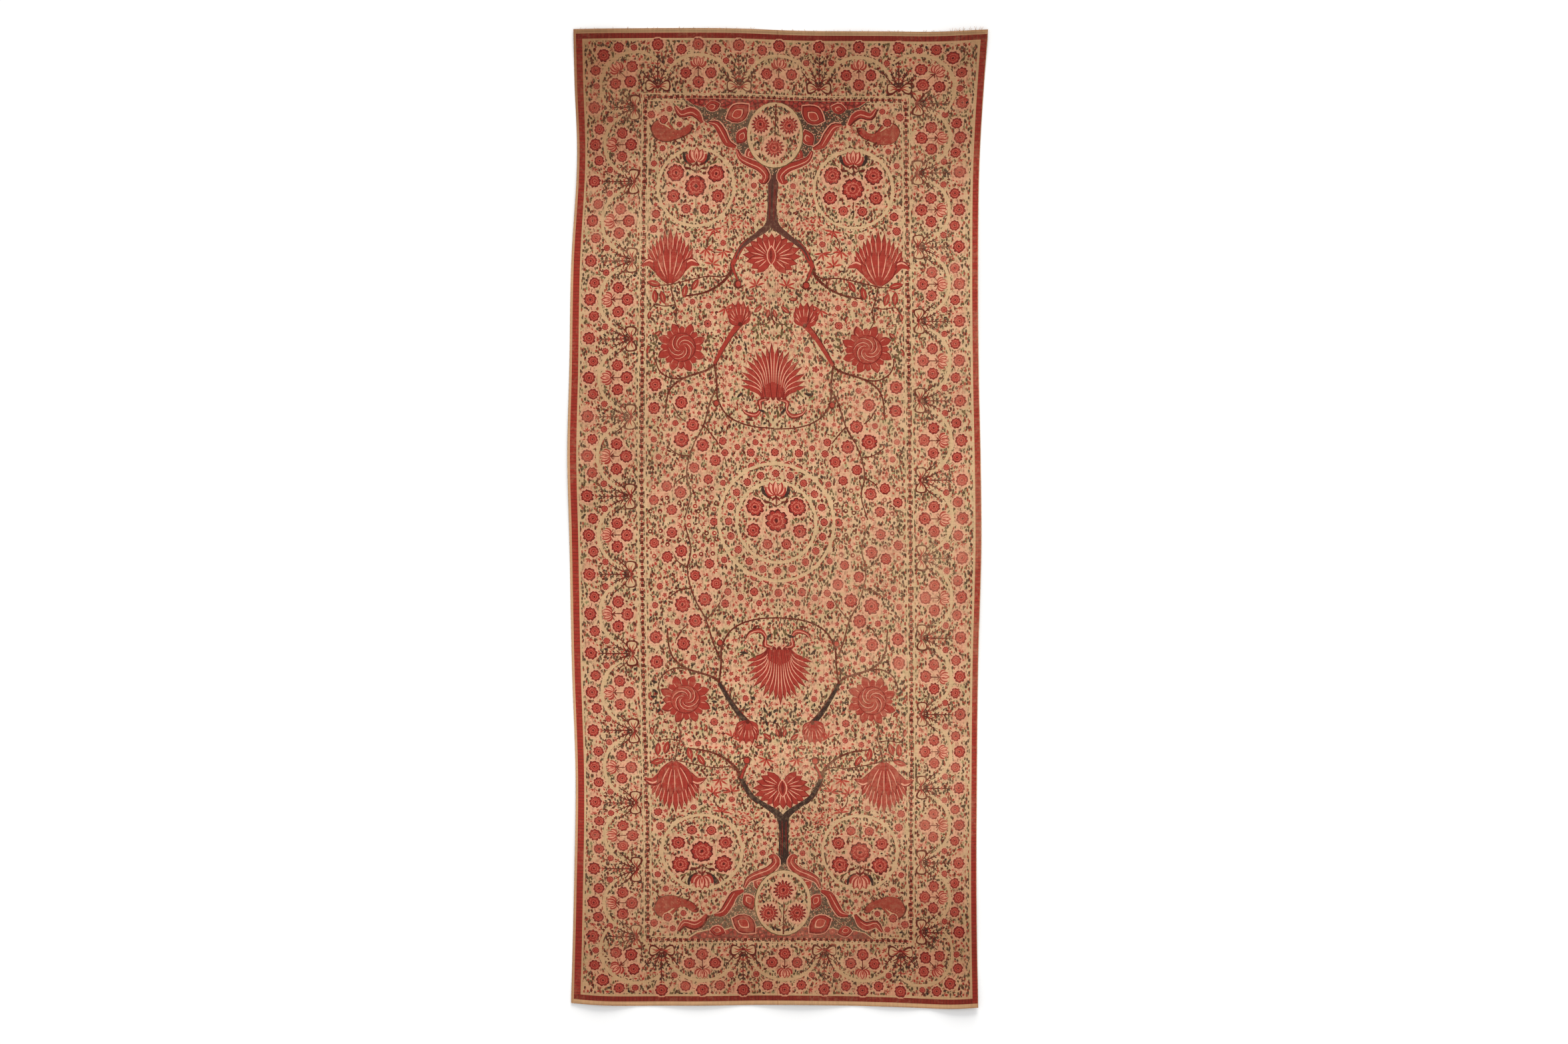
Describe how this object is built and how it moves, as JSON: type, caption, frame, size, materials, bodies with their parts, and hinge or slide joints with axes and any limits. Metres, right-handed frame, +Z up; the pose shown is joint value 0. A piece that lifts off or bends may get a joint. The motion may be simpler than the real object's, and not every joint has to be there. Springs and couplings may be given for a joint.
{
  "type": "palampore",
  "caption": "Long rectangular printed cotton cloth with a tree-of-life field and a scalloped flower border, laid out flat.",
  "frame": {"origin": "on the surface it lies on, under the middle of the cloth's outline", "axes": "+Y along the cloth's length towards its head, +X across it, +Z up off the surface"},
  "size_m": [1.1141, 2.5969, 0.0108],
  "materials": {
    "printed_cotton": "matt hand-woven cotton, printed and dyed in madder red, brown-black and olive on tan"
  },
  "bodies": {
    "root": {"cloth": "printed_cotton"}
  },
  "joints": []
}
